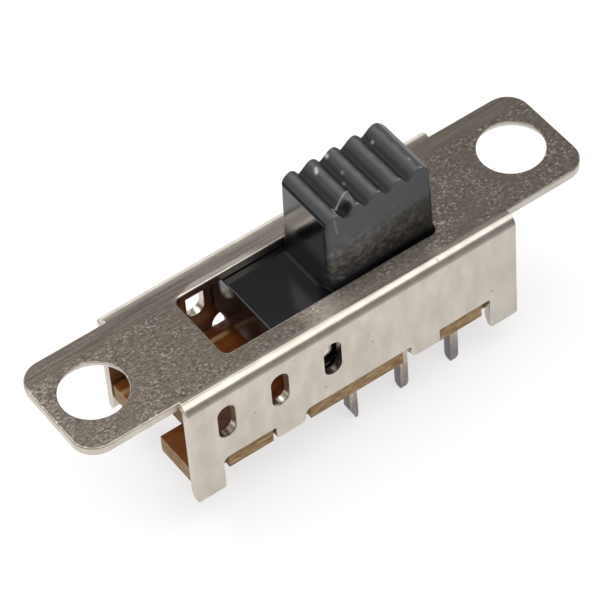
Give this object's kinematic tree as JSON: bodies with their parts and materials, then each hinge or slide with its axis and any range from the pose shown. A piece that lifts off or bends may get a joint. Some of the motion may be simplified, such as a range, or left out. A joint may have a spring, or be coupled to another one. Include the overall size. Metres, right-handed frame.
{
  "type": "slide switch",
  "caption": "Panel-mount slide switch: folded steel frame with two screw ears, ridged black knob on a slide block, brown terminal board and rows of pins underneath.",
  "frame": {"origin": "middle of the mounting plate's top face, halfway between the two mounting holes", "axes": "+X along the plate and the knob's travel, +Z out of the panel on the knob's side, +Y across the switch, away from the front row of pins"},
  "size_m": [0.0288, 0.0074, 0.0131],
  "materials": {
    "frame_steel": "spangled zinc plate",
    "phenolic_board": "laminated phenolic paper",
    "slider_plastic": "moulded, semi-gloss",
    "tinned_pin": "tin plate",
    "contact_bronze": "rolled strip",
    "ball_steel": "ground",
    "spring_wire": "drawn wire"
  },
  "bodies": {
    "frame": {"frame": "frame_steel", "terminal_board": "phenolic_board", "front_terminal_1": "tinned_pin", "front_terminal_2": "tinned_pin", "front_terminal_3": "tinned_pin", "back_terminal_1": "tinned_pin", "back_terminal_2": "tinned_pin", "back_terminal_3": "tinned_pin"},
    "slider": {"slider": "slider_plastic", "front_contact_strip": "contact_bronze", "back_contact_strip": "contact_bronze", "detent_spring": "spring_wire"},
    "front_ball": {"front_ball": "ball_steel"},
    "back_ball": {"back_ball": "ball_steel"}
  },
  "joints": [
    {"name": "slider_slide", "type": "slide", "parent": "frame", "child": "slider", "axis": [1, 0, 0], "range_m": [-0.006, 0]},
    {"name": "front_ball_press", "type": "slide", "parent": "slider", "child": "front_ball", "axis": [0, -1, 0], "range_m": [0, 0.00015], "stiffness_N_per_m": 200, "springref_m": 0.002},
    {"name": "back_ball_press", "type": "slide", "parent": "slider", "child": "back_ball", "axis": [0, 1, 0], "range_m": [0, 0.00015], "stiffness_N_per_m": 200, "springref_m": 0.002}
  ]
}
